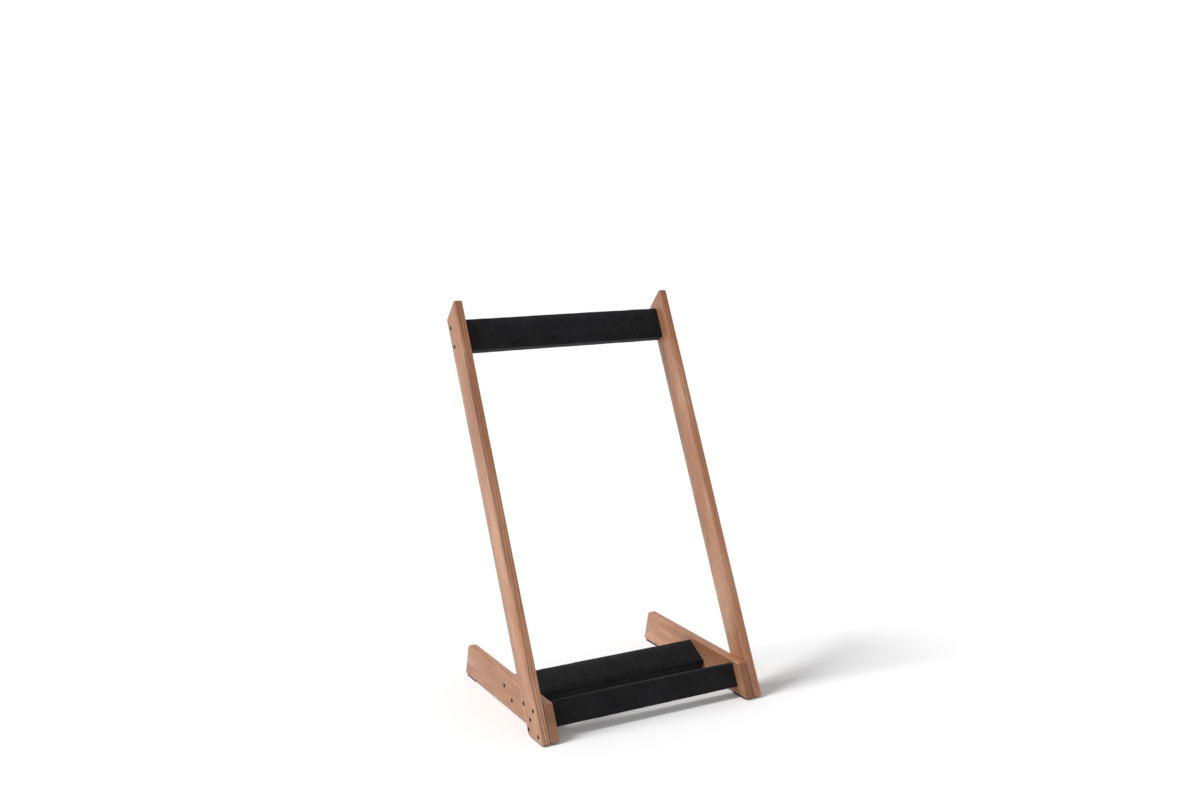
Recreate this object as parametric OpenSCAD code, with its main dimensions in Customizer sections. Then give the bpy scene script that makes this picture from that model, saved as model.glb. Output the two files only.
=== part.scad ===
// Guitar case rack: two leaning uprights screwed to two feet, joined by three padded rails.
// The cases stand on the front and rear rails and lean back against the top rail.
// Origin: centre of the footprint, on the floor. +X across, +Y to the back, +Z up.
// The stand frame is the same, but starts at the front of the boards' level undersides.
// The lean frame runs up the uprights from there: its Y is depth behind their front edge and its
// Z is length along them. All sizes are in millimetres and all angles in degrees.

/* [Rack] */
// Clear width between the uprights
bay_w = 421; // [300:1:900]
// Lean of the uprights, back from vertical
lean = 25.9; // [18:0.1:33]
// Thickness of the boards of the uprights and the feet
board_t = 18; // [16:0.5:25]
// Radius of the corners of both side boards' outlines
corner_r = 2.5; // [1:0.5:5]

/* [Uprights] */
// Length of the front edge, from its bottom corner to its top corner
upright_l = 811; // [600:1:1000]
// Width of the board
upright_w = 50; // [40:1:65]
// Drop of the top end, from its front corner to its rear corner
top_drop = 21; // [8:1:35]
// Radius of the long edges
upright_edge_r = 4; // [2:0.5:6]

/* [Feet] */
// Length along the floor
foot_l = 373; // [300:1:500]
// Height of the board
foot_h = 62; // [50:0.5:90]
// Slope of the rear end, from vertical
foot_rear_slope = 14.5; // [5:0.5:30]
// Radius of the long edges
foot_edge_r = 4; // [2:0.5:5]
// Thickness of the rubber pads under the feet
pad_t = 2.5; // [1.5:0.5:6]
// Length of a rubber pad
pad_l = 42; // [20:1:80]
// Distance from a rubber pad's side to the foot's side
pad_inset = 1.5; // [1:0.5:4]
// Distance from a rubber pad to the end of the foot's flat underside
pad_end = 2; // [1:1:30]
// Radius of a rubber pad's corners
pad_corner_r = 3; // [1:0.5:5]

/* [Rails] */
// Thickness of the three rail cores
rail_t = 18; // [16:0.5:25]
// Width of the top and rear rail cores
wide_rail_w = 60; // [45:1:75]
// How much narrower the front rail core is than the foot
front_rail_less = 21; // [14:1:24]
// Depth of the front rail core behind the uprights' front edge
front_rail_depth = 18; // [10:0.5:25]
// Distance from the front of the feet's undersides to the middle of the rear rail
rear_rail_y = 175; // [150:1:300]
// Rise of the rear rail's padded face towards the back
rear_rail_rise = 29.6; // [10:0.1:45]
// Gap between the foot's underside and the rear rail's cover
rear_rail_gap = 6.2; // [0.5:0.1:12]
// Distance from the top rail core to the rear corner of the uprights' top
top_rail_drop = 9.5; // [4:0.5:60]
// Distance from the top rail's cover to the uprights' rear edge
top_rail_inset = 3; // [0.8:0.1:10]
// Thickness of the foam on each rail's padded face
foam_t = 3; // [1.5:0.5:8]
// Thickness of the cloth cover
cover_t = 1.5; // [1:0.5:3]
// Radius of the rail cores' and the foam's outer edges
rail_edge_r = 2; // [1:0.5:4]
// Gap between a cover's end and the board that it meets
cover_end_gap = 0.4; // [0.2:0.1:2]

/* [Screws] */
// Diameter of a screw's head
head_d = 8; // [7:0.1:9.6]
// Height of a screw's tapered head
head_h = 2.6; // [2:0.1:4]
// Diameter of a screw's shank
shank_d = 4.2; // [3:0.1:5]
// Length of a screw's point
point_l = 6; // [3:0.5:9]
// Diameter of the blunt end of a screw's point
point_d = 1; // [0.5:0.1:2]
// Width of the arms of the cross recess in a screw's head
recess_w = 1.1; // [0.8:0.1:1.6]
// Length of the arms, from end to end
recess_l = 4.8; // [3:0.1:5.5]
// Depth of the cross recess
recess_h = 1.8; // [1:0.1:1.9]
// Depth of a head below the face of the board
head_sink = 0.3; // [0.1:0.1:1]
// Distance from the joint screws to the upright's two edges
joint_edge = 8; // [7.5:0.5:12]
// Height of the lower joint screws above the foot's underside
joint_low = 11.5; // [7:0.5:13]
// Distance from the upper joint screws to the foot's top
joint_high = 10.5; // [8:0.5:20]
// Distance between the joint screws' points and the foot's inner face
joint_stop = 6; // [2:0.5:8]
// Distance from a rail screw to the edge of a wide rail core
rail_screw_edge = 12; // [9:0.5:16]
// Length of a wide rail's screw inside the rail core
rail_screw_grip = 31; // [20:0.5:60]
// Length of the front rail's screw inside the rail core
front_screw_grip = 25.5; // [20:0.5:60]

/* [Dowels and staples] */
// Diameter of a dowel
dowel_d = 8; // [6:0.5:10]
// Depth of a dowel in the foot
dowel_in_foot = 12; // [8:0.5:13]
// Depth of a dowel in the front rail core
dowel_in_rail = 18; // [10:0.5:30]
// Distance from a dowel's centre to the edge of the front rail core
dowel_edge = 8; // [7:0.5:9]
// Distance between staples along a rail
staple_pitch = 45; // [25:1:90]
// Distance from the end of a rail to its first staple, at least
staple_margin = 18; // [10:1:60]
// Width of a staple's crown
staple_w = 10; // [6:0.5:13]
// Width of the staple wire
staple_wire_w = 1.2; // [0.8:0.1:1.6]
// Thickness of the staple wire
staple_wire_t = 0.6; // [0.4:0.1:1]
// Length of a staple's legs
staple_leg = 8; // [5:0.5:12]

/* [Fits] */
// Gap all round a screw or a dowel in its hole
hole_gap = 0.1; // [0.05:0.05:0.3]
// Space left past the end of a screw or a dowel
end_gap = 1; // [0.5:0.5:2]
// Gap all round a staple's leg
staple_gap = 0.05; // [0.05:0.05:0.2]

/* [Hidden] */
$fn = 64;
corner_flats = 5;
past_face = 1;
overlap = 0.01;

wood = [0.74, 0.48, 0.36];
core_wood = [0.85, 0.72, 0.52];
foam_colour = [0.30, 0.30, 0.32];
cloth = [0.06, 0.06, 0.07];
dark_metal = [0.16, 0.12, 0.10];
bright_metal = [0.75, 0.75, 0.77];
rubber = [0.10, 0.10, 0.10];

// A point of the lean frame, as [y, z] in the stand frame.
function leaned(depth, along) = [
    depth * cos(lean) + along * sin(lean),
    along * cos(lean) - depth * sin(lean)
];
// How far up the lean a point lies that is this deep, and this high above the undersides.
function along_at(depth, height) = (height + depth * sin(lean)) / cos(lean);

function unit(v) = v / norm(v);
function half_angle(a, b, c) = acos(unit(a - b) * unit(c - b)) / 2;
// Centre of the round corner of radius r at b, between its neighbours a and c.
function corner_centre(a, b, c, r) =
    b + unit(unit(a - b) + unit(c - b)) * r / sin(half_angle(a, b, c));
// How far along its edges that round corner reaches.
function corner_reach(a, b, c, r) = r / tan(half_angle(a, b, c));
// A round corner is a row of flats that touch its circle, each turned by the same step.
function flat_corner(centre, r, angle, step) =
    centre + r / cos(step / 2) * [cos(angle + step / 2), sin(angle + step / 2)];
// The point at x on the flat that faces this way.
function point_on_flat(centre, r, angle, x) =
    [x, centre.y + (r - (x - centre.x) * cos(angle)) / sin(angle)];
// Which way the edge from a to b faces, going round anticlockwise.
function facing(a, b) = atan2(b.y - a.y, b.x - a.x) - 90;

// Side outlines: the upright's as [depth, along] in the lean frame, the foot's in the stand frame.
upright_points = [
    [0, 0],
    [upright_w, along_at(upright_w, 0)],
    [upright_w, upright_l - top_drop],
    [0, upright_l]
];
foot_points = [
    [0, 0],
    [foot_l, 0],
    [foot_l - foot_h * tan(foot_rear_slope), foot_h],
    [foot_h * tan(lean), foot_h]
];

// The footprint runs from the round front corner to the round rear corner of the top.
front_corner = corner_centre(foot_points[3], foot_points[0], foot_points[1], corner_r);
top_corner = corner_centre(upright_points[1], upright_points[2], upright_points[3], corner_r);
y_low = front_corner.x - corner_r;
y_high = leaned(top_corner.x, top_corner.y).x + corner_r;
y_mid = (y_low + y_high) / 2;

foot_bay_w = bay_w - 2 * board_t;
side_x = bay_w / 2;
foot_x = foot_bay_w / 2;

// Joint of an upright and its foot: two columns and two rows of screws, and one in the middle.
row_low = joint_low;
row_high = foot_h - joint_high;
row_mid = (row_low + row_high) / 2;
joint_screw_l = 2 * board_t - joint_stop;
joint_places = [
    for (depth = [joint_edge, upright_w - joint_edge], height = [row_low, row_high])
    [depth, along_at(depth, height)]
];

// Rails. Each has its own frame: X along the rail, Y from the padded face into the core,
// and Z across the padded face. The padded face is at Y 0.
front_core_w = foot_h - front_rail_less;
front_mid_depth = front_rail_depth + rail_t / 2;
front_mid_along = along_at(front_mid_depth, row_mid);
top_core_high = upright_l - top_drop - top_rail_drop;
top_face_depth = upright_w - top_rail_inset - cover_t - rail_t;
rear_half_rise = wide_rail_w / 2 * sin(rear_rail_rise) + (rail_t / 2 + cover_t) * cos(rear_rail_rise);
rear_rail_z = rear_rail_gap + rear_half_rise;

wide_screw_places = [
    [rail_t / 2, rail_screw_edge],
    [rail_t / 2, wide_rail_w - rail_screw_edge]
];
front_screw_place = [front_core_w / 2, rail_t / 2];
dowel_places = [
    [dowel_edge, rail_t / 2],
    [front_core_w - dowel_edge, rail_t / 2]
];

// ---- Frames ----

module stand_frame() {
    translate([0, -y_mid, pad_t]) children();
}

module lean_frame() {
    stand_frame() rotate([-lean, 0, 0]) children();
}

module top_rail_frame() {
    lean_frame() translate([0, top_face_depth, top_core_high - wide_rail_w]) children();
}

module front_rail_frame() {
    lean_frame()
        translate([0, front_rail_depth, front_mid_along + front_core_w / 2])
            rotate([-90, 0, 0])
                children();
}

module rear_rail_frame() {
    stand_frame()
        translate([0, rear_rail_y, rear_rail_z])
            rotate([rear_rail_rise - 90, 0, 0])
                translate([0, -rail_t / 2, -wide_rail_w / 2])
                    children();
}

// The right-hand side as drawn, or its mirror image on the left.
module on_side(side) {
    if (side == "left") mirror([1, 0, 0]) children();
    else children();
}

// Stands a flat shape drawn in Y and Z up and extrudes it along X.
module along_x(length, centred = false) {
    rotate([90, 0, 90]) linear_extrude(height = length, center = centred) children();
}

// ---- Boards ----

module round_rect(size, r) {
    translate([r, 0]) square([size.x - 2 * r, size.y]);
    translate([0, r]) square([size.x, size.y - 2 * r]);
    for (x = [r, size.x - r], y = [r, size.y - r])
        translate([x, y]) circle(r);
}

// Convex outline with every corner rounded.
module round_outline(points, r) {
    n = len(points);
    polygon([
        for (i = [0:n - 1])
        let (before = points[(i + n - 1) % n], after = points[(i + 1) % n])
        let (start = facing(before, points[i]))
        let (step = (facing(points[i], after) - start + 360) % 360 / corner_flats)
        for (k = [0:corner_flats - 1])
        flat_corner(corner_centre(before, points[i], after, r), r, start + k * step, step)
    ]);
}

// Rounds the two edges across X of a board's end at Z 0. Its flats run on past the board's faces.
module end_rounding(r, reach) {
    step = 90 / corner_flats;
    centre = [board_t - r, -r];
    right = [
        point_on_flat(centre, r, step, 2 * board_t),
        for (k = [1:corner_flats - 2]) flat_corner(centre, r, k * step, step),
        point_on_flat(centre, r, 90 - step, board_t / 2)
    ];
    left = [for (k = [len(right) - 2:-1:0]) [board_t - right[k].x, right[k].y]];
    rotate([90, 0, 0])
        linear_extrude(height = 2 * reach, center = true)
            polygon(concat([[-board_t, -reach], [2 * board_t, -reach]], right, left));
}

// An upright's board, its inner face at X 0.
module upright_board() {
    reach = 2 * upright_l;
    intersection() {
        rotate([-lean, 0, 0]) {
            intersection() {
                linear_extrude(height = reach, center = true)
                    round_rect([board_t, upright_w], upright_edge_r);
                translate([-board_t, 0, 0])
                    along_x(3 * board_t) round_outline(upright_points, corner_r);
                translate([0, 0, upright_l])
                    rotate([-atan(top_drop / upright_w), 0, 0])
                        end_rounding(corner_r, reach);
            }
        }
        mirror([0, 0, 1]) end_rounding(corner_r, reach);
    }
}

// A foot's board, its inner face at X 0.
module foot_board() {
    reach = 2 * foot_l;
    intersection() {
        translate([0, foot_l, 0])
            rotate([90, 0, 0])
                linear_extrude(height = reach, center = true)
                    round_rect([board_t, foot_h], foot_edge_r);
        translate([-board_t, 0, 0])
            along_x(3 * board_t) round_outline(foot_points, corner_r);
        rotate([90 - lean, 0, 0]) end_rounding(corner_r, reach);
        translate([0, foot_l, 0])
            rotate([foot_rear_slope - 90, 0, 0]) end_rounding(corner_r, reach);
    }
}

// ---- Screws, dowels and staples ----

// Countersunk wood screw, or with a gap the hole for it. Its head is at Z 0, its point at +Z.
module screw_shape(length, gap = 0) {
    straight = length - point_l;
    cylinder(h = head_h, d1 = head_d + 2 * gap, d2 = shank_d + 2 * gap);
    cylinder(h = straight, d = shank_d + 2 * gap);
    translate([0, 0, straight])
        cylinder(h = point_l, d1 = shank_d + 2 * gap, d2 = point_d + 2 * gap);
}

module screw(length) {
    difference() {
        screw_shape(length);
        for (turn = [0, 90])
            rotate([0, 0, turn])
                translate([-recess_l / 2, -recess_w / 2, -past_face])
                    cube([recess_l, recess_w, recess_h + past_face]);
    }
}

module screw_hole(length) {
    screw_shape(length, hole_gap);
    cylinder(h = length + end_gap, d = shank_d + 2 * hole_gap);
    translate([0, 0, -head_sink - past_face])
        cylinder(h = head_sink + past_face + overlap, d = head_d + 2 * hole_gap);
}

// Puts a screw or hole at [y, z], its head just under the face at this X, pointing inwards.
module driven_in(face_x, place) {
    translate([face_x - head_sink, place.x, place.y]) rotate([0, -90, 0]) children();
}

// The right side's screws, as a solid or as holes.
module screw_or_hole(length, hole) {
    if (hole) screw_hole(length);
    else screw(length);
}

module joint_screws(hole = false) {
    lean_frame()
        for (place = joint_places)
            driven_in(side_x + board_t, place) screw_or_hole(joint_screw_l, hole);
}

module top_rail_screws(hole = false) {
    top_rail_frame()
        for (place = wide_screw_places)
            driven_in(side_x + board_t, place)
                screw_or_hole(board_t + rail_screw_grip, hole);
}

module front_rail_screw(hole = false) {
    front_rail_frame()
        driven_in(side_x + board_t, front_screw_place)
            screw_or_hole(2 * board_t + front_screw_grip, hole);
}

module rear_rail_screws(hole = false) {
    rear_rail_frame()
        for (place = wide_screw_places)
            driven_in(foot_x + board_t, place)
                screw_or_hole(board_t + rail_screw_grip, hole);
}

module dowels(hole = false) {
    gap = hole ? hole_gap : 0;
    past = hole ? end_gap : 0;
    front_rail_frame()
        for (place = dowel_places)
            translate([foot_x - dowel_in_rail - past, place.x, place.y])
                rotate([0, 90, 0])
                    cylinder(h = dowel_in_rail + dowel_in_foot + 2 * past, d = dowel_d + 2 * gap);
}

// Staple with its crown on the plane Z 0 and its legs going down.
module staple() {
    translate([-staple_w / 2, -staple_wire_w / 2, 0])
        cube([staple_w, staple_wire_w, staple_wire_t]);
    staple_legs(0);
}

module staple_legs(gap) {
    for (x = [-1, 1] * (staple_w - staple_wire_t) / 2)
        translate([x - staple_wire_t / 2 - gap, -staple_wire_w / 2 - gap, -staple_leg - gap])
            cube([staple_wire_t + 2 * gap, staple_wire_w + 2 * gap, staple_leg + gap]);
}

// Places its children in a row along X, at the staples' places on a rail of this length.
module staple_row(length) {
    n = floor((length - 2 * staple_margin - staple_w) / staple_pitch);
    for (i = [0:n])
        translate([(i - n / 2) * staple_pitch, 0, 0]) children();
}

// A wide rail is stapled along the middle of its back.
module wide_staple_places(length) {
    translate([0, rail_t + cover_t, wide_rail_w / 2])
        rotate([-90, 0, 0]) staple_row(length) children();
}

// The front rail's padded face is its top edge, so it is stapled along its rear face.
module front_staple_places() {
    translate([0, front_core_w / 2, rail_t + cover_t]) staple_row(foot_bay_w) children();
}

// ---- Rails ----
// core is [depth behind the padded face, width of the padded face].

module rail_outline(core, grow = 0) {
    translate([-foam_t - grow, -grow])
        round_rect([core.x + foam_t + 2 * grow, core.y + 2 * grow], rail_edge_r + grow);
}

module rail_core(core, length) {
    color(core_wood)
        along_x(length, true)
            intersection() {
                rail_outline(core);
                square([core.x, core.y]);
            }
}

module rail_foam(core, length) {
    color(foam_colour)
        along_x(length - 2 * cover_end_gap, true)
            intersection() {
                rail_outline(core);
                translate([-foam_t, 0]) square([foam_t, core.y]);
            }
}

module rail_cover(core, length) {
    color(cloth)
        along_x(length - 2 * cover_end_gap, true)
            difference() {
                rail_outline(core, cover_t);
                rail_outline(core);
            }
}

wide_core = [rail_t, wide_rail_w];
front_core = [front_core_w, rail_t];

module top_rail_core() {
    difference() {
        top_rail_frame() rail_core(wide_core, bay_w);
        for (side = ["left", "right"]) on_side(side) top_rail_screws(hole = true);
        top_rail_frame() wide_staple_places(bay_w) staple_legs(staple_gap);
    }
}

module top_rail_foam() {
    top_rail_frame() rail_foam(wide_core, bay_w);
}

module top_rail_cover() {
    top_rail_frame()
        difference() {
            rail_cover(wide_core, bay_w);
            wide_staple_places(bay_w) staple_legs(staple_gap);
        }
}

module top_rail_staples() {
    color(bright_metal) top_rail_frame() wide_staple_places(bay_w) staple();
}

module front_rail_core() {
    difference() {
        front_rail_frame() rail_core(front_core, foot_bay_w);
        for (side = ["left", "right"]) on_side(side) {
            front_rail_screw(hole = true);
            dowels(hole = true);
        }
        front_rail_frame() front_staple_places() staple_legs(staple_gap);
    }
}

module front_rail_foam() {
    front_rail_frame() rail_foam(front_core, foot_bay_w);
}

module front_rail_cover() {
    front_rail_frame()
        difference() {
            rail_cover(front_core, foot_bay_w);
            front_staple_places() staple_legs(staple_gap);
        }
}

module front_rail_staples() {
    color(bright_metal) front_rail_frame() front_staple_places() staple();
}

module rear_rail_core() {
    difference() {
        rear_rail_frame() rail_core(wide_core, foot_bay_w);
        for (side = ["left", "right"]) on_side(side) rear_rail_screws(hole = true);
        rear_rail_frame() wide_staple_places(foot_bay_w) staple_legs(staple_gap);
    }
}

module rear_rail_foam() {
    rear_rail_frame() rail_foam(wide_core, foot_bay_w);
}

module rear_rail_cover() {
    rear_rail_frame()
        difference() {
            rail_cover(wide_core, foot_bay_w);
            wide_staple_places(foot_bay_w) staple_legs(staple_gap);
        }
}

module rear_rail_staples() {
    color(bright_metal) rear_rail_frame() wide_staple_places(foot_bay_w) staple();
}

// ---- Sides ----

module upright(side) {
    color(wood)
        on_side(side)
            difference() {
                translate([side_x, 0, 0]) stand_frame() upright_board();
                joint_screws(hole = true);
                front_rail_screw(hole = true);
                top_rail_screws(hole = true);
            }
}

module foot(side) {
    color(wood)
        on_side(side)
            difference() {
                translate([foot_x, 0, 0]) stand_frame() foot_board();
                joint_screws(hole = true);
                front_rail_screw(hole = true);
                rear_rail_screws(hole = true);
                dowels(hole = true);
            }
}

// Rubber pad under one end of a foot, with round corners.
module rubber_pad(side, end) {
    front_y = corner_reach(foot_points[3], foot_points[0], foot_points[1], corner_r) + pad_end;
    rear_reach = corner_reach(foot_points[0], foot_points[1], foot_points[2], corner_r);
    y = end == "front" ? front_y : foot_l - rear_reach - pad_end - pad_l;
    color(rubber)
        on_side(side)
            stand_frame()
                translate([foot_x + pad_inset, y, -pad_t])
                    linear_extrude(height = pad_t)
                        round_rect([board_t - 2 * pad_inset, pad_l], pad_corner_r);
}

module left_upright() { upright("left"); }
module right_upright() { upright("right"); }
module left_foot() { foot("left"); }
module right_foot() { foot("right"); }
module left_joint_screws() { color(dark_metal) on_side("left") joint_screws(); }
module right_joint_screws() { color(dark_metal) on_side("right") joint_screws(); }
module left_top_rail_screws() { color(dark_metal) on_side("left") top_rail_screws(); }
module right_top_rail_screws() { color(dark_metal) on_side("right") top_rail_screws(); }
module left_front_rail_screw() { color(dark_metal) on_side("left") front_rail_screw(); }
module right_front_rail_screw() { color(dark_metal) on_side("right") front_rail_screw(); }
module left_rear_rail_screws() { color(dark_metal) on_side("left") rear_rail_screws(); }
module right_rear_rail_screws() { color(dark_metal) on_side("right") rear_rail_screws(); }
module left_front_rail_dowels() { color(core_wood) on_side("left") dowels(); }
module right_front_rail_dowels() { color(core_wood) on_side("right") dowels(); }
module left_front_pad() { rubber_pad("left", "front"); }
module left_rear_pad() { rubber_pad("left", "rear"); }
module right_front_pad() { rubber_pad("right", "front"); }
module right_rear_pad() { rubber_pad("right", "rear"); }

left_upright();
right_upright();
left_foot();
right_foot();
top_rail_core();
top_rail_foam();
top_rail_cover();
top_rail_staples();
front_rail_core();
front_rail_foam();
front_rail_cover();
front_rail_staples();
rear_rail_core();
rear_rail_foam();
rear_rail_cover();
rear_rail_staples();
left_joint_screws();
right_joint_screws();
left_top_rail_screws();
right_top_rail_screws();
left_front_rail_screw();
right_front_rail_screw();
left_rear_rail_screws();
right_rear_rail_screws();
left_front_rail_dowels();
right_front_rail_dowels();
left_front_pad();
left_rear_pad();
right_front_pad();
right_rear_pad();
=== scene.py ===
import math
import random

import bmesh
import bpy
from mathutils import Matrix, Vector


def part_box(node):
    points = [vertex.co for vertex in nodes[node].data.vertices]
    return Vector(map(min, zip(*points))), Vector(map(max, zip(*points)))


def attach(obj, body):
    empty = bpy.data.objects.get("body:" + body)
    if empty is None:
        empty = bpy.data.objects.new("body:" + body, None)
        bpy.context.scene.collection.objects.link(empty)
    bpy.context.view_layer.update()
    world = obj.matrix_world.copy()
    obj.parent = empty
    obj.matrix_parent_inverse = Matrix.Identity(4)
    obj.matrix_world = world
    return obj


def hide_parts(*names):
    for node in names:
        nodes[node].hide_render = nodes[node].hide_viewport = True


# A free-standing wooden rack for three guitar cases. Every length is in metres, in the part's own
# frame: +X across, +Y to the back, +Z up.

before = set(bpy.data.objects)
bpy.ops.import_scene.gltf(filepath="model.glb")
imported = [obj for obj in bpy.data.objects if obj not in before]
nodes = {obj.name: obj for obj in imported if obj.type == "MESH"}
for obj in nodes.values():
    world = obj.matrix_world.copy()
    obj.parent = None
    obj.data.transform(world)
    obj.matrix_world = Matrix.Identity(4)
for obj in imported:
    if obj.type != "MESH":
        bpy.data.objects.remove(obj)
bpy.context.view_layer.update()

MM = 0.001
# Places that are closer than this are the same.
CLOSE = 0.01 * MM

# ---- Sizes that the part's solids don't give as plain boxes ----

# The side boards. The stand frame starts at STAND_Y, at the front of the feet's level undersides.
# SAWN_OFF is how far a block stands past each end of its board before it is cut.
LEAN = math.radians(25.9)
STAND_Y = -195.535 * MM
UPRIGHT_W = 50 * MM
UPRIGHT_L = 811 * MM
TOP_DROP = 21 * MM
FOOT_L = 373 * MM
FOOT_REAR_SLOPE = math.radians(14.5)
LONG_EDGE_R = 4 * MM
END_EDGE_R = 3.5 * MM
SAWN_OFF = 30 * MM

# The rails and what covers them. The cover's skin is a mesh of PAD_CELL squares. PAD_CROWN is the
# most that it swells, and PAD_TUCK is the length at each end that can't.
RAIL_T = 18 * MM
WIDE_RAIL_W = 60 * MM
FRONT_RAIL_W = 41 * MM
TOP_RAIL_INSET = 3 * MM
TOP_RAIL_DROP = 9.5 * MM
FRONT_RAIL_DEPTH = 18 * MM
REAR_RAIL_Y = 175 * MM
REAR_RAIL_GAP = 6.2 * MM
REAR_RAIL_RISE = math.radians(29.6)
FOAM_T = 3 * MM
CLOTH_T = 0.8 * MM
COVER_T = 1.5 * MM
COVER_END_GAP = 0.4 * MM
PAD_FRONT_R = 5 * MM
PAD_BACK_R = 2.4 * MM
PAD_END_R = 0.9 * MM
PAD_CELL = 2.6 * MM
PAD_CROWN = 2.6 * MM
PAD_TUCK = 2 * MM
LAP_HALF_W = 8.5 * MM
LAP_STRAY = 0.45 * MM

# The screws and where they go
HEAD_R = 4 * MM
HEAD_H = 2.6 * MM
HEAD_SINK = 0.3 * MM
SHANK_R = 2.1 * MM
POINT_R = 0.5 * MM
POINT_L = 6 * MM
RECESS_HALF_L = 2.4 * MM
RECESS_HALF_W = 0.58 * MM
RECESS_H = 1.9 * MM
HEAD_HOLE_R = 4.14 * MM
SHANK_HOLE_R = 2.3 * MM
JOINT_SCREW_L = 30 * MM
WIDE_RAIL_SCREW_L = 49 * MM
FRONT_RAIL_SCREW_L = 61.5 * MM
JOINT_EDGE = 8 * MM
JOINT_LOW = 11.5 * MM
JOINT_HIGH = 10.5 * MM
RAIL_SCREW_EDGE = 12 * MM

# The staples. They pull a dip of DIP_HALF_L and DIP_REACH into the cloth, which bunches up beside
# it, from BUNCH_FROM outwards.
STAPLE_PITCH = 45 * MM
STAPLE_MARGIN = 18 * MM
STAPLE_W = 10 * MM
STAPLE_LEG = 8 * MM
STAPLE_BEND_R = 0.45 * MM
WIRE_W = 1.2 * MM
WIRE_T = 0.6 * MM
STAPLE_PULL = 0.5 * MM
DIP_HALF_L = 3 * MM
DIP_REACH = 4.2 * MM
BUNCH_H = 0.22 * MM
BUNCH_FROM = 4 * MM
BUNCH_REACH = 16 * MM

# The rubber pads under the feet
RUBBER_CORNER_R = 3 * MM
RUBBER_EDGE_R = 0.5 * MM
RUBBER_RIM = 1.6 * MM
RUBBER_DISH = 0.5 * MM

board_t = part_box("right_upright")[1].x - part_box("right_upright")[0].x
side_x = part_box("right_upright")[0].x
foot_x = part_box("right_foot")[0].x
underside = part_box("right_foot")[0].z
foot_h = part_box("right_foot")[1].z - underside


def along_at(depth, height):
    """How far up the lean a point lies that is this deep and this high above the undersides."""
    return (height + depth * math.sin(LEAN)) / math.cos(LEAN)


# ---- Frames of the pieces ----
# A rail's frame has X along the rail, Y from its padded face into the wood, and Z across that
# face.

row_low = JOINT_LOW
row_high = foot_h - JOINT_HIGH
front_mid_along = along_at(FRONT_RAIL_DEPTH + RAIL_T / 2, (row_low + row_high) / 2)
top_face_depth = UPRIGHT_W - TOP_RAIL_INSET - COVER_T - RAIL_T
top_core_high = UPRIGHT_L - TOP_DROP - TOP_RAIL_DROP
rear_rail_z = (
    REAR_RAIL_GAP
    + WIDE_RAIL_W / 2 * math.sin(REAR_RAIL_RISE)
    + (RAIL_T / 2 + COVER_T) * math.cos(REAR_RAIL_RISE)
)

stand_frame = Matrix.Translation((0, STAND_Y, underside))
lean_frame = stand_frame @ Matrix.Rotation(-LEAN, 4, "X")
top_rail_frame = lean_frame @ Matrix.Translation((0, top_face_depth, top_core_high - WIDE_RAIL_W))
front_rail_frame = (
    lean_frame
    @ Matrix.Translation((0, FRONT_RAIL_DEPTH, front_mid_along + FRONT_RAIL_W / 2))
    @ Matrix.Rotation(-math.pi / 2, 4, "X")
)
rear_rail_frame = (
    stand_frame
    @ Matrix.Translation((0, REAR_RAIL_Y, rear_rail_z))
    @ Matrix.Rotation(REAR_RAIL_RISE - math.pi / 2, 4, "X")
    @ Matrix.Translation((0, -RAIL_T / 2, -WIDE_RAIL_W / 2))
)

# Side pieces are drawn on the right and mirrored to the left.
SIDES = {"left": Matrix.Scale(-1, 4, (1, 0, 0)), "right": Matrix.Identity(4)}

# ---- Working at the bench: small steps in edit mode ----


def start_fresh():
    if bpy.context.object and bpy.context.object.mode != "OBJECT":
        bpy.ops.object.mode_set(mode="OBJECT")
    bpy.ops.object.select_all(action="DESELECT")


def take(obj):
    start_fresh()
    obj.select_set(True)
    bpy.context.view_layer.objects.active = obj


def named(name):
    obj = bpy.context.object
    obj.name = name
    obj.data.name = name
    return obj


def block(name, low, high):
    """A cuboid between two corners, to be cut and rounded."""
    start_fresh()
    low, high = Vector(low), Vector(high)
    bpy.ops.mesh.primitive_cube_add(size=1, location=(low + high) / 2, scale=high - low)
    bpy.ops.object.transform_apply(location=True, rotation=True, scale=True)
    return named(name)


def edit(obj):
    take(obj)
    bpy.ops.object.mode_set(mode="EDIT")
    bpy.ops.mesh.select_mode(type="FACE")
    bpy.ops.mesh.select_all(action="DESELECT")


def done():
    bpy.ops.object.mode_set(mode="OBJECT")


def pick_edges(obj, wanted):
    """Selects the edges whose two ends, a and b, are wanted."""
    bpy.ops.mesh.select_mode(type="EDGE")
    bpy.ops.mesh.select_all(action="DESELECT")
    mesh = bmesh.from_edit_mesh(obj.data)
    for edge in mesh.edges:
        a, b = (v.co for v in edge.verts)
        edge.select_set(bool(wanted(a, b)))
    bmesh.update_edit_mesh(obj.data)


def pick_faces(obj, wanted):
    """Selects the faces whose centre and normal are wanted."""
    bpy.ops.mesh.select_mode(type="FACE")
    bpy.ops.mesh.select_all(action="DESELECT")
    mesh = bmesh.from_edit_mesh(obj.data)
    for face in mesh.faces:
        face.select_set(bool(wanted(face.calc_center_median(), face.normal)))
    bmesh.update_edit_mesh(obj.data)


def runs_along(a, b, way):
    return abs((b - a).normalized().dot(Vector(way))) > 0.999


def round_off(radius, segments):
    """Rounds the selected edges."""
    bpy.ops.mesh.bevel(offset=radius, segments=segments, profile=0.5, affect="EDGES")


def face_outwards():
    bpy.ops.mesh.select_all(action="SELECT")
    bpy.ops.mesh.normals_make_consistent(inside=False)


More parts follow.
